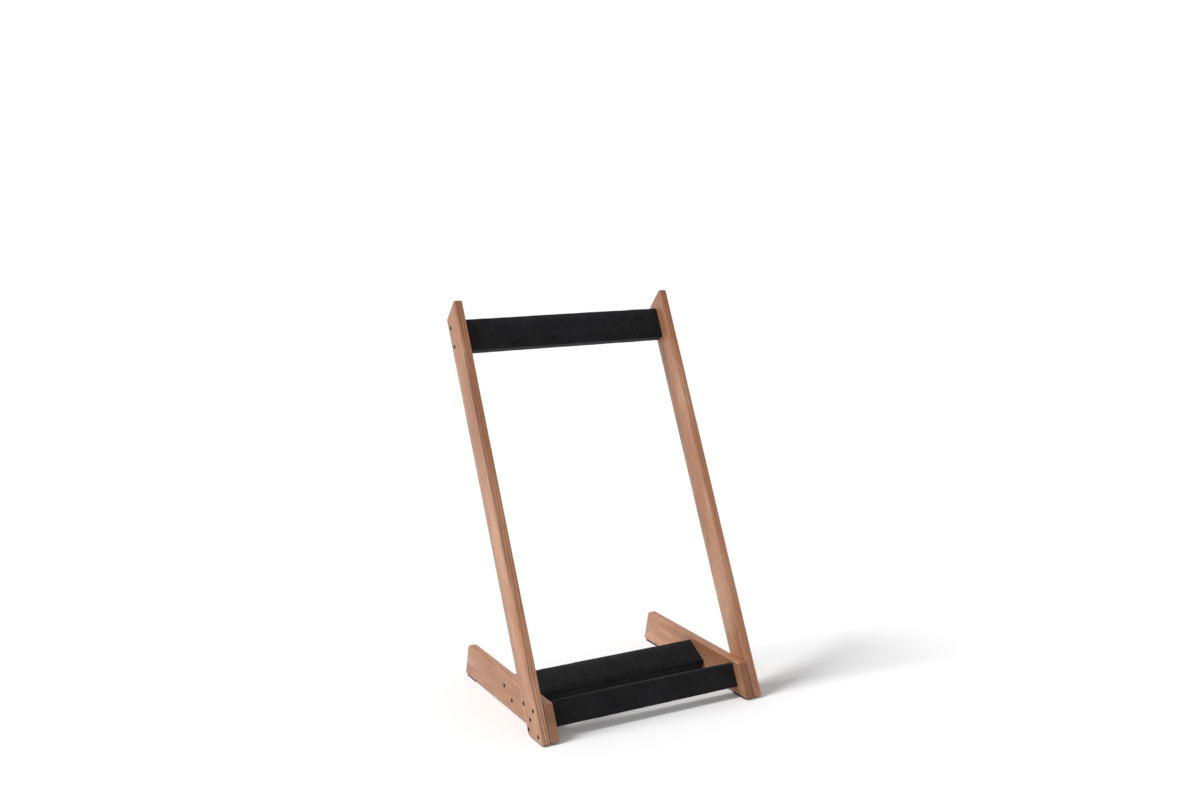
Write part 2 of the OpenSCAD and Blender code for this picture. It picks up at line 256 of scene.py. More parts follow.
def turned(name, profile):
    """A turned shape: a disc at the first (radius, height), drawn out and scaled to each next."""
    start_fresh()
    radius, height = profile[0]
    bpy.ops.mesh.primitive_circle_add(
        vertices=40, radius=radius, fill_type="NGON", location=(0, 0, height)
    )
    bpy.ops.object.transform_apply(location=True, rotation=True, scale=True)
    obj = named(name)
    edit(obj)
    bpy.ops.mesh.select_all(action="SELECT")
    for next_radius, next_height in profile[1:]:
        bpy.ops.mesh.extrude_region_move(
            TRANSFORM_OT_translate={"value": (0, 0, next_height - height)}
        )
        bpy.ops.transform.resize(
            value=(next_radius / radius, next_radius / radius, 1),
            center_override=(0, 0, next_height),
        )
        radius, height = next_radius, next_height
    face_outwards()
    done()
    return obj


def placed_copy(obj, name, matrix):
    """A copy with its own mesh, moved by this matrix. A mirrored copy is turned right side out."""
    copy = obj.copy()
    copy.data = obj.data.copy()
    copy.name = name
    copy.data.name = name
    bpy.context.scene.collection.objects.link(copy)
    copy.data.transform(matrix)
    if matrix.determinant() < 0:
        copy.data.flip_normals()
    return copy


def joined(name, objects):
    take(objects[0])
    for obj in objects:
        obj.select_set(True)
    if len(objects) > 1:
        bpy.ops.object.join()
    return named(name)


def discard(obj):
    bpy.data.objects.remove(obj, do_unlink=True)


def finish_modifier(obj, modifier):
    take(obj)
    bpy.ops.object.modifier_apply(modifier=modifier.name)


def cut(obj, tool):
    modifier = obj.modifiers.new("cut", "BOOLEAN")
    modifier.operation = "DIFFERENCE"
    modifier.solver = "EXACT"
    modifier.object = tool
    finish_modifier(obj, modifier)


def smooth(obj, angle):
    """Smooth shading over edges that turn less than this many degrees. Broad faces stay flat."""
    take(obj)
    bpy.ops.object.shade_smooth_by_angle(angle=math.radians(angle))
    modifier = obj.modifiers.new("weights", "WEIGHTED_NORMAL")
    modifier.keep_sharp = True
    modifier.weight = 80
    finish_modifier(obj, modifier)


def fit(obj, material, slot, *stands_for):
    """Gives a finished piece its material and its place in the part."""
    obj.data.materials.clear()
    obj.data.materials.append(material)
    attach(obj, "root")
    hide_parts(*stands_for)


def refinish(node, material):
    """A better material on a node that keeps its own shape."""
    for slot in nodes[node].material_slots:
        slot.material = material


# ---- Materials ----


class Recipe:
    """A material's nodes, with short ways to add and link them."""

    def __init__(self, name):
        self.material = bpy.data.materials.new(name)
        self.material.use_nodes = True
        self.tree = self.material.node_tree
        self.shader = self.tree.nodes["Principled BSDF"]
        self.place = self.add("ShaderNodeTexCoord").outputs["Object"]

    def add(self, kind, **settings):
        node = self.tree.nodes.new(kind)
        for key, value in settings.items():
            setattr(node, key, value)
        return node

    def feed(self, socket, value):
        """Links another socket into this one, or sets it to a number or colour."""
        if isinstance(value, bpy.types.NodeSocket):
            self.tree.links.new(value, socket)
        else:
            socket.default_value = value

    def set(self, name, value):
        self.feed(self.shader.inputs[name], value)

    def maths(self, operation, a, b=0.0, clamp=False):
        node = self.add("ShaderNodeMath", operation=operation, use_clamp=clamp)
        self.feed(node.inputs[0], a)
        self.feed(node.inputs[1], b)
        return node.outputs[0]

    def vector(self, operation, a, b=(0, 0, 0)):
        node = self.add("ShaderNodeVectorMath", operation=operation)
        self.feed(node.inputs[0], a)
        self.feed(node.inputs[1], b)
        return node.outputs["Value" if operation in ("LENGTH", "DOT_PRODUCT") else "Vector"]

    def noise(self, where, scale, detail, roughness=0.5, colour=False):
        """Noise with its own scale on each axis, in cells a metre."""
        scale = scale if isinstance(scale, tuple) else (scale,) * 3
        node = self.add("ShaderNodeTexNoise")
        self.feed(node.inputs["Vector"], self.vector("MULTIPLY", where, scale))
        self.feed(node.inputs["Scale"], 1.0)
        self.feed(node.inputs["Detail"], detail)
        self.feed(node.inputs["Roughness"], roughness)
        return node.outputs["Color" if colour else "Fac"]

    def wobble(self, where, scale, detail, roughness, reach):
        """A small shift, up to half of reach each way along every axis."""
        shift = self.noise(where, scale, detail, roughness, colour=True)
        return self.vector("MULTIPLY", self.vector("SUBTRACT", shift, (0.5,) * 3), reach)

    def cells(self, where, scale, **settings):
        node = self.add("ShaderNodeTexVoronoi", **settings)
        self.feed(node.inputs["Vector"], where)
        self.feed(node.inputs["Scale"], scale)
        return node.outputs["Distance"]

    def span(self, value, low, high, to_low=0.0, to_high=1.0):
        """Brings low to high smoothly to to_low to to_high, and holds there outside them."""
        node = self.add("ShaderNodeMapRange", clamp=True, interpolation_type="SMOOTHSTEP")
        for socket, number in zip(node.inputs, (value, low, high, to_low, to_high)):
            self.feed(socket, number)
        return node.outputs["Result"]

    def blend(self, share, a, b):
        node = self.add("ShaderNodeMix", data_type="RGBA")
        self.feed(node.inputs[0], share)
        self.feed(node.inputs[6], a)
        self.feed(node.inputs[7], b)
        return node.outputs[2]

    def bump(self, height, depth, strength):
        node = self.add("ShaderNodeBump")
        self.feed(node.inputs["Height"], height)
        self.feed(node.inputs["Distance"], depth)
        self.feed(node.inputs["Strength"], strength)
        self.set("Normal", node.outputs["Normal"])


def rgb(*colour):
    return (*colour, 1.0)


def darker(colour, share):
    return rgb(*(c * share for c in colour))


RINGS_A_METRE = 260.0


def tree_rings(m, tree):
    """Rings round the pith, which wander along the board: the place as the fibres bend it, and how
    late in its year each point grew."""
    drift = m.wobble(tree, (9, 9, 1.7), 3.0, 0.55, (0.024, 0.024, 0))
    ripple = m.wobble(tree, (90, 90, 7), 2.0, 0.5, (0.0016, 0.0016, 0))
    bent = m.vector("ADD", m.vector("ADD", tree, drift), ripple)
    radius = m.vector("LENGTH", m.vector("MULTIPLY", bent, (1, 1, 0)))
    ring = m.maths("FRACT", m.maths("MULTIPLY", radius, RINGS_A_METRE))
    late = m.maths("MULTIPLY", m.span(ring, 0.25, 0.88), m.span(ring, 0.9, 1.0, 1.0, 0.0))
    strength = m.span(m.noise(tree, (60, 60, 4), 2.0), 0.3, 0.7, 0.35, 1.0)
    return bent, m.maths("MULTIPLY", late, strength)


def rubbed_edges(m, board, tree, half_size):
    """Patches along the long edges that hands and cases have rubbed."""
    split = m.add("ShaderNodeSeparateXYZ")
    m.feed(split.inputs[0], m.vector("ABSOLUTE", board))
    gap_x = m.maths("SUBTRACT", half_size[0], split.outputs[0])
    gap_y = m.maths("SUBTRACT", half_size[1], split.outputs[1])
    near = m.span(m.maths("MAXIMUM", gap_x, gap_y), 0.0010, 0.0055, 1.0, 0.0)
    patches = m.span(m.noise(tree, (150, 150, 18), 3.0, 0.6), 0.42, 0.62)
    return m.maths("MULTIPLY", near, patches)


def wood(name, turn, centre, half_size, pith, light, dark, pore, roughness, coat=0.0):
    """Solid wood: one tree with its rings round a pith line beside the board, so that the long
    grain on the faces runs into rings at the ends. turn brings the board's length to Z."""
    m = Recipe(name)
    turned_centre = turn.to_3x3() @ Vector(centre)
    mapping = m.add("ShaderNodeMapping")
    m.feed(mapping.inputs["Vector"], m.place)
    m.feed(mapping.inputs["Rotation"], tuple(turn.to_euler()))
    m.feed(mapping.inputs["Location"], tuple(-turned_centre))
    board = mapping.outputs["Vector"]
    tree = m.vector("ADD", board, pith)
    bent, late = tree_rings(m, tree)

    # Fibres, broad colour changes, open pores, short flecks and where the end grain shows.
    fibre = m.noise(bent, (1300, 1300, 16), 3.0, 0.6)
    broad = m.noise(tree, (22, 22, 2.6), 3.0, 0.55)
    pores = m.span(m.noise(bent, (1900, 1900, 70), 1.0, 0.4), 0.63, 0.70)
    flecks = m.span(m.noise(tree, (330, 330, 42), 2.0, 0.5), 0.54, 0.74)
    facing = m.add("ShaderNodeTexCoord").outputs["Normal"]
    length_way = tuple(turn.to_3x3().transposed() @ Vector((0, 0, 1)))
    faces_end = m.maths("ABSOLUTE", m.vector("DOT_PRODUCT", facing, length_way))
    end = m.span(faces_end, 0.45, 0.85)

    # The rings show less on the end grain. Some stretches are paler, like sapwood.
    shade = m.maths("MULTIPLY", late, m.span(end, 0.0, 1.0, 0.70, 0.28))
    shade = m.maths("ADD", shade, m.span(broad, 0.3, 0.72, -0.06, 0.42))
    shade = m.maths("ADD", shade, m.span(fibre, 0.3, 0.7, -0.18, 0.24), clamp=True)
    pale = rgb(light[0] * 1.24, light[1] * 1.50, light[2] * 1.80)
    sapwood = m.span(m.noise(tree, (16, 16, 3.6), 2.0, 0.5), 0.46, 0.66, 0.0, 0.95)
    colour = m.blend(shade, m.blend(sapwood, rgb(*light), pale), rgb(*dark))
    colour = m.blend(m.maths("MULTIPLY", flecks, 0.34), colour, darker(dark, 0.70))
    colour = m.blend(m.maths("MULTIPLY", pores, 0.55), colour, rgb(*pore))

    # Rubbed edges are paler and smoother. End grain drinks more finish: darker, and less shiny.
    rubbed = rubbed_edges(m, board, tree, half_size)
    colour = m.blend(m.maths("MULTIPLY", rubbed, 0.34), colour, pale)
    colour = m.blend(m.maths("MULTIPLY", end, 0.55), colour, darker(dark, 0.62))
    m.set("Base Color", colour)

    sheen = m.span(fibre, 0.3, 0.7, roughness - 0.05, roughness + 0.08)
    sheen = m.maths("ADD", sheen, m.maths("MULTIPLY", pores, 0.18))
    sheen = m.maths("ADD", sheen, m.maths("MULTIPLY", end, 0.2))
    sheen = m.maths("SUBTRACT", sheen, m.maths("MULTIPLY", rubbed, 0.07), clamp=True)
    m.set("Roughness", sheen)
    m.set("Coat Weight", coat)
    m.set("Coat Roughness", 0.32)
    m.set("Specular IOR Level", 0.42)
    height = m.maths("SUBTRACT", m.maths("MULTIPLY", fibre, 0.35), pores)
    height = m.maths("SUBTRACT", height, m.maths("MULTIPLY", late, 0.3))
    m.bump(height, 0.22 * MM, 0.55)
    return m.material


ALONG_Y = Matrix.Rotation(math.pi / 2, 4, "X")
ALONG_X = Matrix.Rotation(-math.pi / 2, 4, "Y")
ALONG_LEAN = Matrix.Rotation(LEAN, 4, "X")

# Where a board lay in its tree: across from the pith in X and Y, and how far up in Z.
CORE_PITH = (0.07, 0.05, 0.3)
DOWEL_PITH = (0.03, 0.02, 0.1)
BOARD_PITHS = {
    "left_upright": (0.046, 0.075, 1.3),
    "right_upright": (-0.052, 0.068, 1.7),
    "left_foot": (0.062, -0.058, 3.7),
    "right_foot": (-0.055, 0.071, 4.4),
}


def middle(node):
    low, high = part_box(node)
    return (low + high) / 2


def hardwood(node, turn, width):
    return wood(
        "hardwood_" + node, turn, middle(node), (board_t / 2, width / 2), BOARD_PITHS[node],
        light=(0.465, 0.214, 0.108), dark=(0.205, 0.078, 0.034), pore=(0.060, 0.021, 0.010),
        roughness=0.40, coat=0.18,
    )


def softwood(node):
    return wood(
        "softwood_" + node, ALONG_X, middle(node), (WIDE_RAIL_W / 2, WIDE_RAIL_W / 2), CORE_PITH,
        light=(0.72, 0.54, 0.34), dark=(0.52, 0.33, 0.17), pore=(0.40, 0.25, 0.13),
        roughness=0.68,
    )


def beech(node):
    return wood(
        "beech_" + node, ALONG_X, middle(node), (20 * MM, 20 * MM), DOWEL_PITH,
        light=(0.70, 0.50, 0.33), dark=(0.55, 0.35, 0.21), pore=(0.36, 0.20, 0.11),
        roughness=0.6,
    )


def black_cloth():
    """Black cloth with a short nap: clumps, tufts, brushed areas, single hairs and some lint."""
    m = Recipe("black_cloth")
    nap = m.noise(m.place, 1500, 3.0, 0.65)
    clumps = m.noise(m.place, 330, 3.0, 0.6)
    tufts = m.noise(m.place, 150, 2.0, 0.55)
    brushed = m.noise(m.place, 20, 3.0, 0.6)
    curl = m.vector("MULTIPLY", m.noise(m.place, 500, 2.0, colour=True), (0.0016,) * 3)
    hairs = m.cells(m.vector("ADD", m.place, curl), 900.0, feature="DISTANCE_TO_EDGE")
    strands = m.span(hairs, 0.0, 0.12, 1.0, 0.0)
    lint = m.cells(m.vector("MULTIPLY", m.place, (1.0, 2.6, 2.6)), 75.0, feature="F1")
    specks = m.span(lint, 0.03, 0.055, 1.0, 0.0)

    deep = rgb(0.0030, 0.0031, 0.0036)
    black = rgb(0.0085, 0.0088, 0.0100)
    tuft_grey = rgb(0.0135, 0.0139, 0.0154)
    brushed_grey = rgb(0.0155, 0.0159, 0.0174)
    hair_grey = rgb(0.020, 0.0205, 0.0225)
    lint_grey = rgb(0.16, 0.155, 0.15)
    hair_share = m.maths("MULTIPLY", strands, m.span(nap, 0.4, 0.65, 0.0, 0.5))
    colour = m.blend(m.span(clumps, 0.3, 0.7), deep, black)
    colour = m.blend(m.span(tufts, 0.40, 0.62, 0.0, 0.55), colour, tuft_grey)
    colour = m.blend(m.span(brushed, 0.38, 0.68, 0.0, 0.55), colour, brushed_grey)
    colour = m.blend(hair_share, colour, hair_grey)
    colour = m.blend(m.maths("MULTIPLY", specks, 0.5), colour, lint_grey)
    m.set("Base Color", colour)
    m.set("Roughness", m.span(clumps, 0.3, 0.7, 0.84, 0.97))
    m.set("Specular IOR Level", 0.16)
    m.set("Sheen Weight", 0.16)
    m.set("Sheen Roughness", 0.38)
    m.set("Sheen Tint", rgb(0.50, 0.51, 0.55))
    height = m.maths("ADD", m.maths("MULTIPLY", nap, 0.5), m.maths("MULTIPLY", clumps, 0.9))
    height = m.maths("ADD", height, m.maths("MULTIPLY", tufts, 1.2))
    height = m.maths("ADD", height, m.maths("MULTIPLY", strands, 0.35))
    m.bump(height, 0.5 * MM, 0.8)
    return m.material


def dark_screw_metal():
    """Dark bronze plating, rubbed paler in places."""
    m = Recipe("dark_bronze_plating")
    grain = m.noise(m.place, 2600, 3.0, 0.6)
    patches = m.noise(m.place, 700, 3.0, 0.6)
    deep = rgb(0.010, 0.0055, 0.0035)
    bronze = rgb(0.024, 0.013, 0.008)
    rubbed = rgb(0.085, 0.050, 0.032)
    worn = m.maths("MULTIPLY", m.span(patches, 0.55, 0.7), 0.6)
    m.set("Base Color", m.blend(worn, m.blend(m.span(grain, 0.3, 0.7), deep, bronze), rubbed))
    m.set("Metallic", 0.45)
    m.set("Roughness", m.span(patches, 0.3, 0.7, 0.56, 0.42))
    m.set("Specular IOR Level", 0.2)
    m.bump(grain, 0.05 * MM, 0.5)
    return m.material


def bright_wire():
    """Zinc-coated wire with drawing streaks along X, the way the crowns lie."""
    m = Recipe("galvanised_wire")
    streaks = m.noise(m.place, (260, 2400, 2400), 3.0, 0.6)
    spots = m.noise(m.place, 900, 3.0, 0.6)
    dull = rgb(0.30, 0.31, 0.33)
    bright = rgb(0.50, 0.51, 0.53)
    m.set("Base Color", m.blend(m.span(streaks, 0.3, 0.7), dull, bright))
    m.set("Metallic", 1.0)
    m.set("Roughness", m.span(spots, 0.3, 0.7, 0.26, 0.46))
    m.bump(streaks, 0.04 * MM, 0.5)
    return m.material


def black_rubber():
    """Moulded rubber with a fine grain and a little floor dust."""
    m = Recipe("black_rubber")
    grain = m.noise(m.place, 1100, 4.0, 0.65)
    dust = m.noise(m.place, 130, 4.0, 0.6)
    black = rgb(0.017, 0.017, 0.018)
    dusty = rgb(0.075, 0.07, 0.065)
    m.set("Base Color", m.blend(m.span(dust, 0.45, 0.75, 0.0, 0.45), black, dusty))
    m.set("Roughness", m.span(grain, 0.3, 0.7, 0.68, 0.88))
    m.set("Specular IOR Level", 0.35)
    m.bump(grain, 0.12 * MM, 0.6)
    return m.material


cloth_finish = black_cloth()
screw_finish = dark_screw_metal()
wire_finish = bright_wire()
rubber_finish = black_rubber()

# ---- Screws and their holes ----


def screw_blank(name, length):
    """A countersunk screw: its head's flat top at height 0, its point upwards."""
    return turned(name, [
        (HEAD_R - 0.22 * MM, 0),
        (HEAD_R - 0.05 * MM, 0.07 * MM),
        (HEAD_R, 0.22 * MM),
        (HEAD_R - 0.02 * MM, 0.40 * MM),
        (SHANK_R, HEAD_H),
        (SHANK_R, length - POINT_L),
        (POINT_R, length),
    ])


def driver_bar(name):
    """Half of the driver's bit: a bar that tapers as it goes in, to be used twice, a quarter turn
    apart."""
    bar = block(
        name, (-RECESS_HALF_L, -RECESS_HALF_W, -1 * MM), (RECESS_HALF_L, RECESS_HALF_W, RECESS_H)
    )
    edit(bar)
    pick_faces(bar, lambda centre, normal: normal.z > 0.9)
    bpy.ops.transform.resize(value=(0.28, 0.62, 1), center_override=(0, 0, RECESS_H))
    done()
    return bar


def screw(name, length):
    blank = screw_blank(name, length)
    bar = driver_bar("driver_bar")
    cut(blank, bar)
    bar.data.transform(Matrix.Rotation(math.pi / 2, 4, "Z"))
    cut(blank, bar)
    discard(bar)
    return blank


def countersink(name):
    """What a screw takes out of a board, from well outside its face: the sink for the head and
    the start of the hole for the shank."""
    return turned(name, [
        (HEAD_R + 0.6 * MM, -1.3 * MM),
        (HEAD_HOLE_R, 0.05 * MM),
        (HEAD_HOLE_R, 0.5 * MM),
        (SHANK_HOLE_R, HEAD_H + HEAD_SINK),
        (SHANK_HOLE_R, 8 * MM),
    ])


joint_places = [
    (depth, along_at(depth, height))
    for depth in (JOINT_EDGE, UPRIGHT_W - JOINT_EDGE)
    for height in (row_low, row_high)
]
wide_places = [
    (RAIL_T / 2, RAIL_SCREW_EDGE),
    (RAIL_T / 2, WIDE_RAIL_W - RAIL_SCREW_EDGE),
]
front_place = [(FRONT_RAIL_W / 2, RAIL_T / 2)]
# What each group of screws goes by: its frame, the face it is driven into, places and length.
SCREW_GROUPS = {
    "joint_screws": (lean_frame, side_x + board_t, joint_places, JOINT_SCREW_L),
    "top_rail_screws": (top_rail_frame, side_x + board_t, wide_places, WIDE_RAIL_SCREW_L),
    "front_rail_screw": (front_rail_frame, side_x + board_t, front_place, FRONT_RAIL_SCREW_L),
    "rear_rail_screws": (rear_rail_frame, foot_x + board_t, wide_places, WIDE_RAIL_SCREW_L),
}


def driven(group, sink):
    """The right side's matrices that put a screw, drawn point up, into each place of its group,
    with its head this deep."""
    group_frame, face_x, places, _ = SCREW_GROUPS[group]
    return [
        group_frame
        @ Matrix.Translation((face_x - sink, y, z))
        @ Matrix.Rotation(-math.pi / 2, 4, "Y")
        for y, z in places
    ]


# Each screw stopped at its own angle.
stopped = random.Random(11)
for group, (_, _, _, length) in SCREW_GROUPS.items():
    pattern = screw("pattern_" + group, length)
    for side, across in SIDES.items():
        copies = []
        for place in driven(group, HEAD_SINK):
            quarter = Matrix.Rotation(stopped.uniform(0, math.pi / 2), 4, "Z")
            copies.append(placed_copy(pattern, "one_screw", across @ place @ quarter))
        screws = joined(f"{side}_{group}_turned", copies)
        smooth(screws, 28)
        fit(screws, screw_finish, "screw_metal", f"{side}_{group}")
    discard(pattern)

# ---- Boards ----


def board(name, low, high, run, ends):
    """A board cut from a block: sloping ends first, then round long edges, then softer end edges.
    Each end is a point of the saw cut and the way it faces."""
    obj = block(name, low, high)
    edit(obj)
    for point, outward in ends:
        bpy.ops.mesh.select_all(action="SELECT")
        bpy.ops.mesh.bisect(plane_co=point, plane_no=outward, use_fill=True, clear_outer=True)
    pick_edges(obj, lambda a, b: runs_along(a, b, run))
    round_off(LONG_EDGE_R, 8)
    for _, outward in ends:
        way = Vector(outward).normalized()
        pick_faces(obj, lambda centre, normal: normal.dot(way) > 0.999)
        bpy.ops.mesh.region_to_loop()
        round_off(END_EDGE_R, 6)
    bpy.ops.mesh.select_all(action="SELECT")
    bpy.ops.mesh.remove_doubles(threshold=0.002 * MM)
    face_outwards()
    done()
    return obj


upright = board(
    "upright_board",
    (0, 0, -SAWN_OFF), (board_t, UPRIGHT_W, UPRIGHT_L + SAWN_OFF), (0, 0, 1),
    [
        ((0, 0, 0), (0, math.sin(LEAN), -math.cos(LEAN))),
        ((0, 0, UPRIGHT_L), (0, TOP_DROP, UPRIGHT_W)),
    ],
)
foot = board(
    "foot_board",
    (0, -SAWN_OFF, 0), (board_t, FOOT_L + SAWN_OFF, foot_h), (0, 1, 0),
    [
        ((0, 0, 0), (0, -math.cos(LEAN), math.sin(LEAN))),
        ((0, FOOT_L, 0), (0, math.cos(FOOT_REAR_SLOPE), math.sin(FOOT_REAR_SLOPE))),
    ],
)
upright.data.transform(Matrix.Translation((side_x, 0, 0)))
upright.data.transform(lean_frame)
foot.data.transform(Matrix.Translation((foot_x, 0, 0)))
foot.data.transform(stand_frame)

sink_tool = countersink("sink_tool")
for obj, groups in (
    (upright, ("joint_screws", "front_rail_screw", "top_rail_screws")),
    (foot, ("rear_rail_screws",)),
):
    places = [place for group in groups for place in driven(group, sink=0)]
    tools = joined("sinks", [placed_copy(sink_tool, "sink", place) for place in places])
    cut(obj, tools)
    discard(tools)
discard(sink_tool)

for shape, part, turn, width in (
    (upright, "upright", ALONG_LEAN, UPRIGHT_W),
    (foot, "foot", ALONG_Y, foot_h),
):
    for side, across in SIDES.items():
        node = f"{side}_{part}"
        piece = placed_copy(shape, node + "_board", across)
        smooth(piece, 30)
        fit(piece, hardwood(node, turn, width), "hardwood", node)
    discard(shape)

# ---- Padded rails ----


def staple_count(length):
    return math.floor((length - 2 * STAPLE_MARGIN - STAPLE_W) / STAPLE_PITCH + 1e-9) + 1


def from_staple(length, x):
    """How far this place along a rail is from the nearest staple, as a share of their pitch. An
    odd number of staples has one at the rail's middle, and an even number has none."""
    shift = 0.0 if staple_count(length) % 2 == 0 else 0.5
    return (x / STAPLE_PITCH + shift) % 1 - 0.5


def pad_block(name, low, high):
    """A rail's cover as a block: its long edges rounded, more so at the padded face, which is at
    the low Y, its flats in small cells for the cloth, and its ends rounded a little."""
    obj = block(name, low, high)
    edit(obj)
    for y, radius, segments in ((low.y, PAD_FRONT_R, 8), (high.y, PAD_BACK_R, 4)):
        pick_edges(obj, lambda a, b: runs_along(a, b, (1, 0, 0)) and abs(a.y - y) < CLOSE)
        round_off(radius, segments)
    flat = high - low - Vector((0, PAD_FRONT_R + PAD_BACK_R, 2 * PAD_FRONT_R))
    for axis, way in enumerate(((1, 0, 0), (0, 1, 0), (0, 0, 1))):
        pick_edges(obj, lambda a, b: runs_along(a, b, way))
        bpy.ops.mesh.subdivide(number_cuts=max(2, round(flat[axis] / PAD_CELL) - 1))
    for end in (-1, 1):
        pick_faces(obj, lambda centre, normal: normal.x * end > 0.99)
        bpy.ops.mesh.region_to_loop()
        round_off(PAD_END_R, 3)
    done()
    return obj


def blow_up(obj, rest_y, end_x, most):
    """Lets the cloth over the foam swell like a filled skin, by at most this much, while all that
    lies past rest_y or end_x holds to the wood."""
    before = [v.co.copy() for v in obj.data.vertices]
    held = obj.vertex_groups.new(name="held")
    for vertex in obj.data.vertices:
        weight = 1.0 if vertex.co.y > rest_y or abs(vertex.co.x) > end_x else 0.0
        held.add([vertex.index], weight, "REPLACE")
    cloth = obj.modifiers.new("cloth", "CLOTH")
    settings = cloth.settings
    settings.vertex_group_mass = "held"
    settings.use_pressure = True
    settings.uniform_pressure_force = 4.0
    settings.effector_weights.gravity = 0.0
    settings.quality = 6
    settings.mass = 0.3
    settings.tension_stiffness = 40
    settings.compression_stiffness = 40
    settings.bending_stiffness = 2.0
    cloth.collision_settings.use_collision = False
    for step in range(1, 21):
        bpy.context.scene.frame_set(step)
    finish_modifier(obj, cloth)
    bpy.context.scene.frame_set(1)
    farthest = max((v.co - was).length for v, was in zip(obj.data.vertices, before))
    for vertex, was in zip(obj.data.vertices, before):
        vertex.co = was.lerp(vertex.co, min(1.0, most / farthest))
    obj.vertex_groups.clear()


def slacken(obj, looseness):
    """Small, soft unevenness of cloth laid over foam by hand."""
    loose = obj.vertex_groups.new(name="loose")
    for vertex in obj.data.vertices:
        loose.add([vertex.index], looseness(vertex.co), "REPLACE")
    uneven = bpy.data.textures.new("uneven", "CLOUDS")
    uneven.noise_scale = 22 * MM
    uneven.noise_depth = 2
    modifier = obj.modifiers.new("slack", "DISPLACE")
    modifier.texture = uneven
    modifier.texture_coords = "LOCAL"
    modifier.vertex_group = "loose"
    modifier.mid_level = 0.5
    modifier.strength = 0.9 * MM
    finish_modifier(obj, modifier)
    obj.vertex_groups.clear()


def rail_pad(name, rail_frame, length, depth, width, back):
    """Foam and cloth round a rail, drawn in the rail's frame: padded face at Y 0, stapled on its
    back face, which is either the far Y face or the far Z face."""
    half = length / 2 - COVER_END_GAP
    tucked_x = half - PAD_TUCK
    low = Vector((-half, -FOAM_T - CLOTH_T, -CLOTH_T))
    high = Vector((half, depth + CLOTH_T, width + CLOTH_T))
    obj = pad_block(name, low, high)
    # Only the padded face and the outer three fifths of the foam's thickness swell.
    blow_up(obj, rest_y=-FOAM_T * 0.4, end_x=tucked_x, most=PAD_CROWN)

    # The back face: the axis over its width, the axis it faces along, its middle and its level.
    across, out = (1, 2) if back == "Z" else (2, 1)
    mid = (depth if back == "Z" else width) / 2
    face = high[out]

    def looseness(co):
        """How freely the cloth lies: not at the tucked ends, and not where it is stapled."""
        if abs(co.x) > tucked_x:
            return 0.0
        if co[out] < face - 1 * MM:
            return 1.0
        return min(1.0, max(0.0, (abs(co[across] - mid) - LAP_HALF_W - 1 * MM) / (6 * MM)))

    slacken(obj, looseness)

    # The cloth's free edge lies over the first layer along the back, so high that the staples'
    # crowns sit in it.
    edit(obj)
    pick_faces(obj, lambda centre, normal: (
        normal[out] > 0.9 and abs(centre[across] - mid) < LAP_HALF_W and abs(centre.x) < half
    ))
    lift = Vector((0, 0, 0))
    lift[out] = COVER_T - CLOTH_T + STAPLE_PULL - 0.05 * MM
    bpy.ops.mesh.extrude_region_move(TRANSFORM_OT_translate={"value": lift})
    done()

    def cut_line(x):
        """How far the cloth's free edge strays, where scissors cut it."""
        stray = math.sin(x * 31 + depth * 900) + 0.6 * math.sin(x * 83 + width * 700)
        return LAP_STRAY * stray

    def pull_in(co):
        """Cloth dips under a staple's crown, and bunches up a little beside it."""
        offset = from_staple(length, co.x)
        past_crown = max(0.0, abs(offset * STAPLE_PITCH) - DIP_HALF_L)
        reach = math.hypot(past_crown, co[across] - mid)
        co[out] -= STAPLE_PULL * math.exp(-((reach / DIP_REACH) ** 2))
        if abs(co[across] - mid) > BUNCH_FROM:
            bunched = math.exp(-(((co[across] - mid) / BUNCH_REACH) ** 2))
            co[out] += BUNCH_H * math.cos(2 * math.pi * offset) * bunched

    lap_level = face + lift[out] - 0.05 * MM
    lap_low = min(v.co[across] for v in obj.data.vertices if v.co[out] > lap_level)
    for vertex in obj.data.vertices:
        co = vertex.co
        on_lap = co[out] > lap_level
        if on_lap and co[across] < lap_low + 0.2 * MM:
            # Here the lap comes out of the first layer.
            co[out] = face + 0.03 * MM
            continue
        if on_lap and co[across] > mid + 5 * MM:
            co[across] += cut_line(co.x)
        if co[out] > face - 0.3 * MM:
            pull_in(co)
    obj.data.transform(rail_frame)
    take(obj)
    bpy.ops.object.shade_smooth_by_angle(angle=math.radians(50))
    return obj


def staple(name):
    """A staple from flat wire: crown at height 0 and up, legs down."""
    half = STAPLE_W / 2
    obj = block(name, (-half, -WIRE_W / 2, 0), (half, WIRE_W / 2, WIRE_T))
    edit(obj)
    for x in (-half + WIRE_T, half - WIRE_T):
        bpy.ops.mesh.select_all(action="SELECT")
        bpy.ops.mesh.bisect(plane_co=(x, 0, 0), plane_no=(1, 0, 0))
    pick_faces(obj, lambda centre, normal: normal.z < -0.9 and abs(centre.x) > half - WIRE_T)
    bpy.ops.mesh.extrude_region_move(TRANSFORM_OT_translate={"value": (0, 0, -STAPLE_LEG)})
    pick_edges(obj, lambda a, b: (
        min(abs(a.x), abs(b.x)) > half - CLOSE and min(a.z, b.z) > WIRE_T - CLOSE
    ))
    round_off(STAPLE_BEND_R, 4)
    face_outwards()
    done()
    return obj


